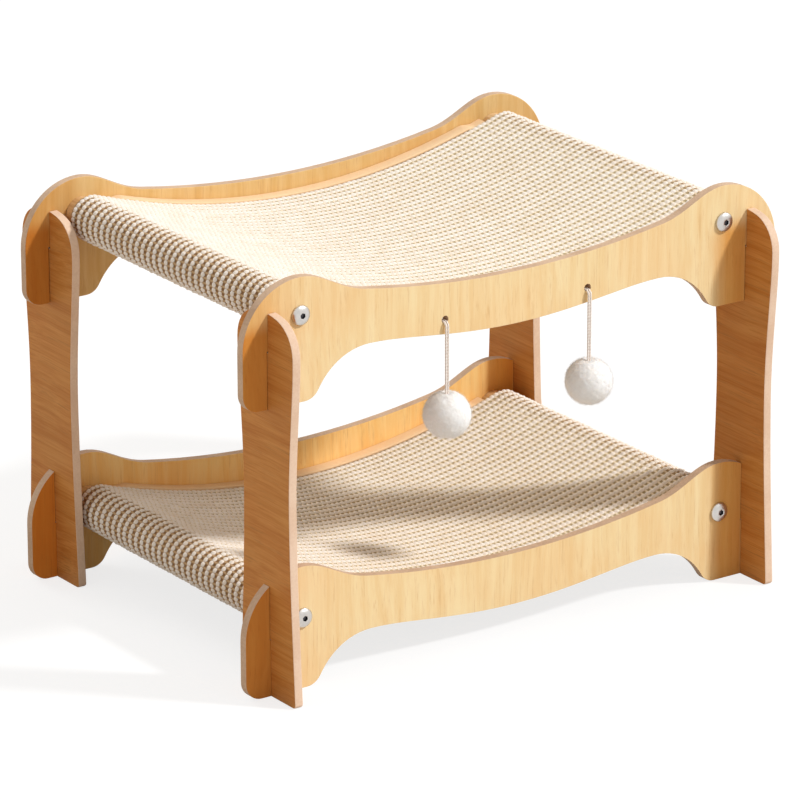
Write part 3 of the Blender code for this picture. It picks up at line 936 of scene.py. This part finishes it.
@dataclass
class HungMat:
    """A mat of one tier: woven sisal on a canvas backing between two edge tapes.

    It is rolled round its rods and sags between them. Its layers follow lines, whose rows are
    the distance along the mat, x, z, normal x and normal z of its top surface.
    """

    tier: Tier
    roll_radius: float = 0.01942
    sag: float = 0.0155
    wrap: float = math.radians(285)
    width: float = 0.3034
    tape_width: float = 0.0115
    sisal_thick: float = 0.0025
    sisal_top: float = 1.1
    backing_thick: float = 0.0022
    backing_soft: float = 0.0006
    tape_soft: float = 0.0009
    play: float = 0.0003
    bead_pitch: float = 0.00457
    rib_count: int = 33
    bead_steps: int = 6
    rib_steps: int = 8
    bead_height: float = 0.0022
    weft_height: float = 0.0006
    bead_shift: float = 0.08
    rib_shift: float = 0.03
    size_change: float = 0.10
    # Where the weave starts to open on the rolls and to take its painted shade colours.
    bent_and_shaded_from: float = 0.184
    bent_and_shaded_over: float = 0.026
    tape_reach: float = 0.186
    tuck_from: float = 0.166
    tuck_over: float = 0.012
    tuck_depth: float = 0.0034
    fine_step: float = 0.001
    tape_step: float = 0.002
    backing_step: float = 0.004
    lean_rounds: int = 20
    roll_points: int = 600
    hung_points: int = 900
    roll_depth: float = 0.03
    upward: float = 0.5

    def __post_init__(self) -> None:
        """Reads the rods' place from the CAD."""
        low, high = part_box(f"{self.tier.value}_right_rod")
        self.rod_x = (low.x + high.x) / 2
        self.rod_z = (low.z + high.z) / 2

    def _line(self, step: float) -> np.ndarray:
        """The way of the mat's top surface, from one rolled end over the sag to the other.

        Args:
            step: About how far apart the points are.

        Returns:
            The line.
        """
        lean = 0.0
        for _ in range(self.lean_rounds):
            tangent_x = self.rod_x - self.roll_radius * math.sin(lean)
            drop = self.roll_radius * math.cos(lean) + self.sag
            lean = math.atan(2 * drop / tangent_x)
        tangent_x = self.rod_x - self.roll_radius * math.sin(lean)
        turn = np.linspace(self.wrap, -lean, self.roll_points)
        out, up = np.sin(turn), np.cos(turn)
        rolled_x = self.rod_x + self.roll_radius * out
        rolled = np.stack([rolled_x, self.rod_z + self.roll_radius * up, out, up], 1)
        steep = math.tan(lean) / (2 * tangent_x)
        x = np.linspace(tangent_x, -tangent_x, self.hung_points)[1:-1]
        slope = 2 * steep * x
        long = np.hypot(1.0, slope)
        hung_z = self.rod_z - self.sag + steep * x * x
        hung = np.stack([x, hung_z, -slope / long, 1.0 / long], 1)
        other = rolled[::-1] * np.array([-1.0, 1.0, -1.0, 1.0])
        line = np.concatenate([rolled, hung, other])
        gone = np.concatenate([[0.0], np.cumsum(np.hypot(*np.diff(line[:, :2], axis=0).T))])
        count = max(8, round(gone[-1] / step))
        at = np.linspace(0.0, gone[-1], count + 1)
        even = np.stack([np.interp(at, gone, line[:, k]) for k in range(4)], 1)
        even[:, 2:] /= np.linalg.norm(even[:, 2:], axis=1)[:, None]
        return np.concatenate([at[:, None], even], 1)

    def _tucked(self, line: np.ndarray) -> np.ndarray:
        """How far each row of a line is onto the rolls.

        Args:
            line: The line, or a stretch of it.

        Returns:
            A column from 0 on the hung part to 1 on the rolls.
        """
        whole = self._line(self.fine_step)
        middle = whole[-1, 0] / 2
        near_rods = whole[:, 2] > self.rod_z - self.roll_depth
        top = whole[(whole[:, 4] > self.upward) & near_rods]
        inside = top[np.abs(top[:, 1]) < self.tuck_from]
        hung_half = float(inside[:, 0].max() - middle)
        share = eased((np.abs(whole[:, 0] - middle) - hung_half) / self.tuck_over)
        return np.interp(line[:, 0], whole[:, 0], share)[:, None]

    def _bent_and_shaded(self, line: np.ndarray) -> np.ndarray:
        """How far the weave is opened by the roll and painted with shade, in each row of a line,
        from 0 to 1.
        """
        share = eased((np.abs(line[:, 1]) - self.bent_and_shaded_from) / self.bent_and_shaded_over)
        return np.where(line[:, 4] > self.upward, share, 1.0)

    def _sunk(self, line: np.ndarray, depth: np.ndarray | float) -> tuple[np.ndarray, np.ndarray]:
        """The x and the z of points at a depth below a line, in columns."""
        return line[:, 1:2] - line[:, 3:4] * depth, line[:, 2:3] - line[:, 4:5] * depth

    def _swept(
        self,
        name: str,
        line: np.ndarray,
        outline: Sequence[Span],
        pull: float = 0.0,
        tuck: float = 0.0,
    ) -> Mesh:
        """A layer of the mat.

        Args:
            name: The mesh's name.
            line: The line that the layer follows.
            outline: Its closed section, as (y, depth below the top surface).
            pull: How far its sides are drawn in on the rolls.
            tuck: How much deeper it lies on the rolls.

        Returns:
            The layer's mesh.
        """
        shape = np.array(outline)
        near = self._tucked(line)
        depth = shape[None, :, 1] + near * tuck
        x, z = self._sunk(line, depth)
        y = shape[None, :, 0] - np.sign(shape[None, :, 0]) * near * pull
        points = np.stack([x, y, z], -1)
        along = np.broadcast_to(line[:, 0:1], x.shape)
        weave = np.stack([along, y, np.broadcast_to(depth, x.shape)], -1)
        return capped(sheet_of_points(name, points, weave, around=True), 60.0)

    def _rounded(
        self, y_low: float, y_high: float, top: float, thick: float, soft: float
    ) -> list[Span]:
        """A layer's section with rounded corners.

        Args:
            y_low: Where it starts across the mat.
            y_high: Where it ends.
            top: How deep its top lies.
            thick: How thick it is.
            soft: Its corners' radius.

        Returns:
            The closed section, as (y, depth).
        """
        corners = (
            (y_high - soft, top + soft, 0.0),
            (y_low + soft, top + soft, math.pi / 2),
            (y_low + soft, top + thick - soft, math.pi),
            (y_high - soft, top + thick - soft, 1.5 * math.pi),
        )
        outline = []
        for y, depth, start in corners:
            for i in range(4):
                a = start + math.pi / 6 * i
                outline.append((y + soft * math.cos(a), depth - soft * math.sin(a)))
        return outline

    def _sisal(self) -> Piece:
        """The woven sisal: a relief of beads along ribs, over weft that shows between them.

        Returns:
            The piece.
        """
        name = f"{self.tier.value}_sisal_weave"
        half = self.width / 2 - self.tape_width - self.play
        pitch_y = 2 * half / self.rib_count
        line = self._line(self.bead_pitch / self.bead_steps)
        columns = self.rib_count * self.rib_steps + 1
        across = np.linspace(-half, half, columns)
        rng = np.random.default_rng(11 if self.tier is Tier.UPPER else 12)
        u = line[:, 0:1] / self.bead_pitch + np.zeros((1, columns))
        v = (across[None, :] + half) / pitch_y + np.zeros_like(u)
        beads = int(u.max()) + 2
        jitter = rng.uniform(-1.0, 1.0, (3, beads, self.rib_count + 1))
        rib = np.minimum(v.astype(int), self.rib_count - 1)
        u = u + self.bead_shift * jitter[0][0, rib] + 0.5
        bead = np.clip(u.astype(int), 0, beads - 1)
        v = v + self.rib_shift * jitter[1][bead, rib]
        size = 1.0 + self.size_change * jitter[2][bead, rib]
        along = np.abs(u - np.floor(u) - 0.5)
        beside = np.abs(v - np.floor(v) - 0.5)
        finish = SisalWeave()
        # Opens the relief on the rolls, and is stored so that the weave paints shade there.
        bent_and_shaded = self._bent_and_shaded(line)[:, None] + np.zeros_like(u)
        reach = finish.rib_reach - bent_and_shaded * (finish.rib_reach - finish.bent_reach)
        crown = 1 - (beside / reach) ** 2 - (along / finish.bead_reach) ** 2
        crown = np.sqrt(np.clip(crown, 0, 1))
        weft = np.sqrt(np.clip(1 - ((0.5 - along) / finish.weft_reach) ** 2, 0, 1))
        height = np.maximum(self.bead_height * size * crown, self.weft_height * weft)
        depth = self.bead_height * self.sisal_top - height
        x, z = self._sunk(line, depth)
        y = across[None, :] + np.zeros_like(x)
        points, weave = np.stack([x, y, z], -1), np.stack([u, v, bent_and_shaded], -1)
        return linked(name, sheet_of_points(name, *self._with_skirt(points, weave, line)), finish)

    def _with_skirt(
        self, points: np.ndarray, weave: np.ndarray, line: np.ndarray
    ) -> tuple[np.ndarray, np.ndarray]:
        """Turns the sisal's four rims down to the backing.

        Args:
            points: The relief's points.
            weave: What they store.
            line: The mat's line, for its normals.

        Returns:
            Both, one row and one column wider on each side.
        """
        floor_x, floor_z = self._sunk(line, self.sisal_thick)
        left, right = points[:, :1].copy(), points[:, -1:].copy()
        for rim in (left, right):
            rim[..., 0], rim[..., 2] = floor_x, floor_z
        points = np.concatenate([left, points, right], 1)
        weave = np.concatenate([weave[:, :1], weave, weave[:, -1:]], 1)
        first, last = points[:1].copy(), points[-1:].copy()
        for rim, row in ((first, 0), (last, -1)):
            rim[..., 0], rim[..., 2] = floor_x[row], floor_z[row]
        points = np.concatenate([first, points, last], 0)
        weave = np.concatenate([weave[:1], weave, weave[-1:]], 0)
        return points, weave

    def build(self) -> None:
        """Builds the mat's four layers."""
        tier = self.tier.value
        length = float(self._line(self.fine_step)[-1, 0])
        half = self.width / 2
        sisal = settled(self._sisal(), "bed", "sisal", f"{tier}_mat_sisal")
        top = self.sisal_thick + self.play
        shape = self._rounded(-half, half, top, self.backing_thick, self.backing_soft)
        layer = self._swept("canvas", self._line(self.backing_step), shape, pull=self.tape_width)
        canvas = linked(f"{tier}_canvas_backing", layer, BACKING_CANVAS)
        settled(canvas, "bed", "backing", f"{tier}_mat_backing")
        line = self._line(self.tape_step)
        line = line[(np.abs(line[:, 1]) < self.tape_reach) & (line[:, 4] > self.upward)]
        for side in Side:
            word = side.name.lower()
            low, high = sorted((side.value * half, side.value * (half - self.tape_width)))
            shape = self._rounded(low, high, 0.0, self.sisal_thick, self.tape_soft)
            layer = self._swept("tape", line, shape, tuck=self.tuck_depth)
            tape = linked(f"{tier}_{word}_tape", layer, EDGE_TAPE)
            settled(tape, "bed", "edge_strips", f"{tier}_mat_edge_{word}")


@dataclass
class FurnitureBolts:
    """Domed bolts with hex sockets, outside the side boards at the rods' ends."""

    head_radius: float = 0.008
    head_height: float = 0.004
    rim_height: float = 0.0011
    top_radius: float = 0.0036
    mouth_radius: float = 0.0030
    flats: float = 0.004
    socket_depth: float = 0.0022
    socket_start: float = 0.00035
    socket_share: float = 1.7
    shank_radius: float = 0.0029
    shank_length: float = 0.0212
    dome_steps: int = 8
    sides: int = 72
    sharp_angle: float = 32.0
    first_spin: float = 17.0
    spin_step: float = 23.0
    play: float = 0.0003

    def _profile(self) -> list[tuple[float, float, bool]]:
        """The bolt's section, from its tip over its head into its socket.

        Returns:
            For each ring its size, its height, and whether it is six-sided.
        """
        shank, head, flats = self.shank_radius, self.head_radius, self.flats
        tip, seat, rim, top = -self.shank_length, self.play, self.rim_height, self.head_height
        floor = top - self.socket_depth
        rings = [
            (0.0005, tip, False),
            (shank * 0.8, tip, False),
            (shank, tip + 0.0008, False),
            (shank, seat, False),
            (head - 0.0006, seat, False),
            (head - 0.0002, seat + 0.0001, False),
            (head, seat + 0.0004, False),
            (head, rim, False),
        ]
        flat_turn = math.acos(self.top_radius / head)
        for i in range(1, self.dome_steps + 1):
            turn = flat_turn * i / self.dome_steps
            rise = (top - rim) * math.sin(turn) / math.sin(flat_turn)
            rings.append((head * math.cos(turn), rim + rise, False))
        return rings + [
            (self.mouth_radius, top, False),
            (flats + 0.0006, top, True),
            (flats + 0.0002, top - 0.0001, True),
            (flats, top - 0.0004, True),
            (flats, floor, True),
            (flats * 0.4, floor - 0.0002, True),
            (0.0002, floor - 0.0005, False),
        ]

    def _ring(self, size: float, z: float, six_sided: bool) -> list[Point]:
        """A ring of points round the bolt's axis.

        Args:
            size: Its radius, or a hexagon's width over its flats.
            z: Its height.
            six_sided: Whether it is a hexagon.

        Returns:
            The points.
        """
        ring = []
        for i in range(self.sides):
            a = 2 * math.pi * i / self.sides
            off_flat = (a + math.pi / 6) % (math.pi / 3) - math.pi / 6
            radius = size / 2 / math.cos(off_flat) if six_sided else size
            ring.append((radius * math.cos(a), radius * math.sin(a), z))
        return ring

    def _bolt(self) -> Mesh:
        """One bolt along +Z, its head's underside near z = 0.

        Returns:
            The mesh, with its socket in slot 1.
        """
        points = np.array([self._ring(*ring) for ring in self._profile()])
        mesh = capped(sheet_of_points("bolt", points, around=True), self.sharp_angle)
        for face in mesh.polygons:
            middle = face.center
            inside = math.hypot(middle.x, middle.y) < self.flats / self.socket_share
            in_head = 0 < middle.z < self.head_height - self.socket_start
            face.material_index = int(inside and in_head)
        return mesh

    def build(self) -> None:
        """Builds all eight bolts, each in its node's place."""
        places = [(tier, side, end) for tier in Tier for side in Side for end in End]
        for tier, side, end in places:
            where = f"{tier.value}_{side.name.lower()}_{end.name.lower()}"
            low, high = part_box(f"{where}_bolt")
            face_y = side.value * (max(abs(low.y), abs(high.y)) - self.head_height)
            turn = Matrix.Rotation(math.radians(-90 * side.value), 4, "X")
            spin = self.first_spin + self.spin_step * (end.value + 2 * side.value)
            turn = turn @ Matrix.Rotation(math.radians(spin), 4, "Z")
            middle = Matrix.Translation(((low.x + high.x) / 2, face_y, (low.z + high.z) / 2))
            mesh = self._bolt()
            mesh.transform(middle @ turn)
            bolt = linked(f"{where}_domed_bolt", mesh, BOLT_CHROME, SOCKET_DARK)
            settled(bolt, "bed", "bolts", f"{where}_bolt")


@dataclass
class BallToy:
    """One toy: a felted ball on a doubled string, knotted behind the board and in the ball."""

    end: End
    ball_radius: float = 0.01925
    ball_steps: int = 6
    felt_depth: float = 0.0007
    tuft_height: float = 0.00045
    tuft_scale: float = 330.0
    hole_radius: float = 0.0052
    dimple_depth: float = 0.0021
    hollow_depth: float = 0.0068
    hollow_spread: float = 1.6
    hollow_curve: float = 1.2
    strand_radius: float = 0.0009
    strand_spacing: float = 0.0021
    strand_sides: int = 12
    bend_radius: float = 0.0036
    bend_above: float = 0.0008
    bend_below: float = 0.0030
    neck_start_y: float = -0.152
    point_step: float = 0.00045
    ply_pitch: float = 0.0052
    ply_valley: float = 0.72
    ply_rise: float = 0.28
    stopper_radius: float = 0.0044
    ball_knot_radius: float = 0.0034
    knot_reach: float = 0.7
    knot_points: int = 97
    fibre_count: int = 6500
    fibre_length: float = 0.0030
    fibre_radius: float = 0.00005
    fibre_root: float = 0.0010
    fibre_lean: float = 0.55
    bare_pole: float = 0.27

    def __post_init__(self) -> None:
        """Reads the toy's place from the CAD."""
        self.name = f"{self.end.name.lower()}_toy"
        self.centre = self._middle("ball")
        self.stopper = self._middle("stopper_knot")
        self.ball_knot = self._middle("ball_knot")
        swing = next(j for j in frame["joints"] if j["name"] == f"{self.name}_swing")
        self.pivot = Vector(swing["pos_m"])

    def _middle(self, part: str) -> Vector:
        """The middle of one of the toy's CAD nodes."""
        low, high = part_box(f"{self.name}_{part}")
        return (low + high) / 2

    def _ply_ring(self, far: float) -> list[Span]:
        """A ring of a two-ply string, turned as the plies are there.

        Args:
            far: The distance along the string.

        Returns:
            The ring's (radius, angle) points.
        """
        twist = 2 * math.pi * far / self.ply_pitch
        ring = []
        for i in range(self.strand_sides):
            a = 2 * math.pi * i / self.strand_sides
            share = self.ply_valley + self.ply_rise * abs(math.cos(a - twist))
            ring.append((self.strand_radius * share, a))
        return ring

    def _strand_path(self, x: float) -> list[Vector]:
        """A strand's way from the stopper knot through the hole and down into the ball.

        Args:
            x: Where the strand hangs.

        Returns:
            The points along it.
        """
        pivot, bend, start_y = self.pivot, self.bend_radius, self.neck_start_y
        bend_y = pivot.y + bend
        steps = max(2, round(abs(bend_y - start_y) / self.point_step))
        path = [
            Vector((x, start_y + (bend_y - start_y) * i / steps, pivot.z + bend))
            for i in range(steps)
        ]
        steps = round(math.pi / 2 * bend / self.point_step)
        for i in range(steps):
            turn = math.pi / 2 * i / steps
            path.append(Vector((x, bend_y - bend * math.sin(turn), pivot.z + bend * math.cos(turn))))
        bottom = self.ball_knot.z + self.ball_knot_radius * self.knot_reach
        steps = round((pivot.z - bottom) / self.point_step)
        for i in range(steps + 1):
            path.append(Vector((x, pivot.y, pivot.z + (bottom - pivot.z) * i / steps)))
        return path

    def _strand(self, label: str, shift: float) -> None:
        """Builds one of the two strands, which bends where the toy's two bodies meet.

        Args:
            label: Which strand it is, left or right.
            shift: How far it hangs beside the toy's middle.
        """
        path = self._strand_path(self.centre.x + shift)
        name = f"{self.name}_string_{label}"
        piece = linked(name, tube(name, path, self._ply_ring), TwistedCotton())
        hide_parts(f"{self.name}_neck_{label}", f"{self.name}_strand_{label}")
        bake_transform(piece)
        LOG.info("%s: %d faces, from the hole to the ball", piece.name, len(piece.data.polygons))

    def _knot(self, name: str, middle: Vector, radius: float, turn: Matrix) -> Piece:
        """A tight overhand knot of string.

        Args:
            name: The piece's name.
            middle: Its middle.
            radius: The ball that it fits in.
            turn: How it is turned.

        Returns:
            The piece.
        """
        reach = (radius - self.strand_radius) / 3
        path = []
        for i in range(self.knot_points):
            t = 2 * math.pi * (i / self.knot_points)
            x = reach * (math.sin(t) + 2 * math.sin(2 * t))
            y = reach * (math.cos(t) - 2 * math.cos(2 * t))
            path.append(Vector((x, y, -2.0 * reach * math.sin(3 * t))))
        mesh = tube(name, path, self._ply_ring)
        mesh.transform(Matrix.Translation(middle) @ turn)
        return linked(name, mesh, TwistedCotton())

    def _ball(self) -> Piece:
        """The felted ball, dimpled where the string goes in and hollowed below for its knot.

        Returns:
            The piece.
        """
        bm = bmesh.new()
        bmesh.ops.create_icosphere(bm, subdivisions=self.ball_steps, radius=self.ball_radius)
        felt_seed = Vector((7.0 * self.end.value, 3.0, 0.0))
        for vert in bm.verts:
            out = vert.co.normalized()
            tufts = field_noise.fractal(vert.co * self.tuft_scale + felt_seed, 0.8, 2.1, 4)
            vert.co = out * (self.ball_radius - self.felt_depth + self.tuft_height * tufts)
            off_axis = math.hypot(vert.co.x, vert.co.y)
            if off_axis < self.hole_radius:
                share = max(0.0, 1 - (off_axis / self.hole_radius) ** 2)
                depth = self.dimple_depth * share
                if vert.co.z <= 0:
                    share = min(1.0, self.hollow_spread * share) ** self.hollow_curve
                    depth = self.hollow_depth * share
                vert.co.z -= math.copysign(depth, vert.co.z)
        name = f"{self.name}_felt_ball"
        mesh = bpy.data.meshes.new(name)
        bm.to_mesh(mesh)
        bm.free()
        mesh.transform(Matrix.Translation(self.centre))
        mesh.shade_smooth()
        return linked(name, mesh, WoolFelt())

    def _fuzz(self) -> Piece:
        """Short loose fibres that stand out of the ball all round, each a thin closed spike.

        Returns:
            The piece.
        """
        rng = np.random.default_rng(31 + self.end.value)
        out = rng.normal(size=(self.fibre_count, 3))
        out /= np.linalg.norm(out, axis=1)[:, None]
        out = out[(np.hypot(out[:, 0], out[:, 1]) > self.bare_pole)]
        lean = rng.normal(size=out.shape) * self.fibre_lean
        aim = out + lean - out * (lean * out).sum(1)[:, None]
        aim /= np.linalg.norm(aim, axis=1)[:, None]
        side = np.cross(aim, rng.normal(size=out.shape))
        side /= np.linalg.norm(side, axis=1)[:, None]
        up = np.cross(aim, side)
        foot = out * (self.ball_radius - self.fibre_root)
        reach = rng.uniform(0.5, 1.0, (len(out), 1)) * self.fibre_length
        angles = (0.0, 2.1, 4.2)
        ring = [foot + self.fibre_radius * (side * math.cos(a) + up * math.sin(a)) for a in angles]
        points = np.stack([*ring, foot + aim * reach], 1) + np.array(self.centre)
        base = np.arange(len(out))[:, None, None] * 4
        faces = (base + np.array([[0, 1, 3], [1, 2, 3], [2, 0, 3], [2, 1, 0]])).reshape(-1, 3)
        name = f"{self.name}_wool_fuzz"
        mesh = bpy.data.meshes.new(name)
        mesh.from_pydata(points.reshape(-1, 3).tolist(), [], faces.tolist())
        mesh.shade_smooth()
        return linked(name, mesh, WoolFelt())

    def build(self) -> None:
        """Builds the toy's strings, knots and ball."""
        half = self.strand_spacing / 2
        for label, shift in (("left", -half), ("right", half)):
            self._strand(label, shift)
        top, pendulum = f"{self.name}_top", f"{self.name}_pendulum"
        lying = Matrix.Rotation(math.radians(90), 4, "X")
        name = f"{self.name}_stopper_loops"
        stopper = self._knot(name, self.stopper, self.stopper_radius, lying)
        settled(stopper, top, "strings", f"{self.name}_stopper_knot")
        name = f"{self.name}_ball_knot_loops"
        inner = self._knot(name, self.ball_knot, self.ball_knot_radius, Matrix.Identity(4))
        settled(inner, pendulum, "strings", f"{self.name}_ball_knot")
        settled(self._ball(), pendulum, "balls", f"{self.name}_ball")
        settled(self._fuzz(), pendulum, "balls")


@dataclass
class HiddenHardware:
    """The rods and inserts inside the rolled ends, which keep their CAD shapes."""

    rods: Finish = TurnedPine()
    inserts: Finish = INSERT_ZINC

    def build(self) -> None:
        """Dresses the rods and the inserts."""
        for node, piece in frame["nodes"].items():
            if node.endswith("_rod"):
                self._dress(piece, self.rods)
            elif node.endswith("_insert"):
                self._dress(piece, self.inserts)

    def _dress(self, piece: Piece, finish: Finish) -> None:
        """Gives a CAD node's every slot a finish.

        Args:
            piece: The node's object.
            finish: The finish.
        """
        if not piece.material_slots:
            piece.data.materials.append(finish.material())
        for slot in piece.material_slots:
            slot.material = finish.material()
        LOG.info("%s: %s", piece.name, finish.name)


@dataclass(frozen=True)
class Sun:
    """A distant lamp, in degrees. Azimuth 0 is in front, at -Y, and 90 is at +X."""

    name: str
    strength: float
    azimuth: float
    elevation: float
    softness: float

    def build(self) -> None:
        """Makes the lamp."""
        a, e = math.radians(self.azimuth), math.radians(self.elevation)
        toward = Vector((math.sin(a) * math.cos(e), -math.cos(a) * math.cos(e), math.sin(e)))
        data = bpy.data.lights.new(self.name, "SUN")
        data.energy = self.strength
        data.angle = math.radians(self.softness)
        lamp = bpy.data.objects.new(self.name, data)
        lamp.rotation_mode = "QUATERNION"
        lamp.rotation_quaternion = toward.to_track_quat("Z", "Y")
        bpy.context.scene.collection.objects.link(lamp)


@dataclass
class Studio:
    """The pale floor, the soft light and the camera at the photograph's place."""

    camera_place: Point = (-2.47726, -3.56360, 1.67281)
    yaw: float = 0.60764
    pitch: float = 0.33793
    roll: float = -0.00184
    focal_pixels: float = 5751.9
    picture_pixels: float = 800.0
    sensor_width: float = 36.0
    clip_start: float = 0.5
    clip_end: float = 60.0
    suns: Sequence[Sun] = (
        Sun("key", 2.5, azimuth=46.0, elevation=41.0, softness=6.0),
        Sun("back", 0.8, azimuth=190.0, elevation=30.0, softness=25.0),
    )
    white: Rgb = (1.0, 1.0, 1.0)
    fill: float = 0.55
    fill_tint: Rgb = (1.0, 0.95, 0.89)
    floor_tint: Rgb = (0.64, 0.61, 0.57)
    floor_paper: Rgb = (0.9, 0.9, 0.9)
    floor_white: float = 0.72
    floor_glow: float = 1.08
    floor_half: float = 30.0
    floor_drop: float = 0.0002

    def _camera(self) -> None:
        """Makes the camera."""
        level_share = math.cos(self.pitch)
        sideways, ahead = math.sin(self.yaw) * level_share, math.cos(self.yaw) * level_share
        look = Vector((sideways, ahead, -math.sin(self.pitch)))
        level = Vector((math.cos(self.yaw), -math.sin(self.yaw), 0.0))
        upward = level.cross(look)
        right = level * math.cos(self.roll) + upward * math.sin(self.roll)
        up = upward * math.cos(self.roll) - level * math.sin(self.roll)
        data = bpy.data.cameras.new("photo_camera")
        data.sensor_width = self.sensor_width
        data.lens = self.focal_pixels / self.picture_pixels * data.sensor_width
        data.clip_start = self.clip_start
        data.clip_end = self.clip_end
        camera = bpy.data.objects.new("photo_camera", data)
        bpy.context.scene.collection.objects.link(camera)
        turn = Matrix((right, up, -look)).transposed().to_4x4()
        camera.matrix_world = Matrix.Translation(self.camera_place) @ turn
        bpy.context.scene.camera = camera

    def _world(self) -> None:
        """Makes the soft fill, which is plain white where it is seen."""
        world = bpy.data.worlds.new("studio")
        bpy.context.scene.world = world
        recipe = Recipe(world)
        kind = "ShaderNodeBackground"
        fill = recipe.node(kind, None, {"Color": self.fill_tint, "Strength": self.fill})
        white = recipe.node(kind, None, {"Color": self.white, "Strength": 1.0})
        mixed = {0: recipe.shown(), 1: fill, 2: white}
        recipe.surface(recipe.node("ShaderNodeMixShader", None, mixed))

    def _floor(self) -> None:
        """Makes the plain pale floor, white where it is seen but for the soft shadow."""
        mesh = bpy.data.meshes.new("studio_floor")
        bm = bmesh.new()
        bmesh.ops.create_grid(bm, x_segments=1, y_segments=1, size=self.floor_half)
        bm.to_mesh(mesh)
        bm.free()
        recipe = Recipe(bpy.data.materials.new("floor_paper"))
        bounced = recipe.node("ShaderNodeBsdfDiffuse", None, {"Color": self.floor_tint})
        shadowed = recipe.node("ShaderNodeBsdfDiffuse", None, {"Color": self.floor_paper})
        glow = {"Color": self.white, "Strength": self.floor_glow}
        mixed = {0: self.floor_white, 1: shadowed, 2: recipe.node("ShaderNodeEmission", None, glow)}
        paper = recipe.node("ShaderNodeMixShader", None, mixed)
        mixed = {0: recipe.shown(), 1: bounced, 2: paper}
        recipe.surface(recipe.node("ShaderNodeMixShader", None, mixed))
        floor = bpy.data.objects.new("studio_floor", mesh)
        bpy.context.scene.collection.objects.link(floor)
        floor.location.z = -self.floor_drop
        mesh.materials.append(recipe.owner)

    def build(self) -> None:
        """Makes the camera, the lights and the floor."""
        self._camera()
        for sun in self.suns:
            sun.build()
        self._world()
        self._floor()
        bpy.context.scene.view_settings.view_transform = "Standard"


def main() -> None:
    """Builds the studio and every sub-assembly."""
    logging.basicConfig(level=logging.INFO, format="%(message)s")
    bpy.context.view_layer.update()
    Studio().build()
    for end in End:
        BallToy(end).build()
    SlottedBoards().build()
    for tier in Tier:
        HungMat(tier).build()
    FurnitureBolts().build()
    HiddenHardware().build()


if __name__ == "__main__":
    main()
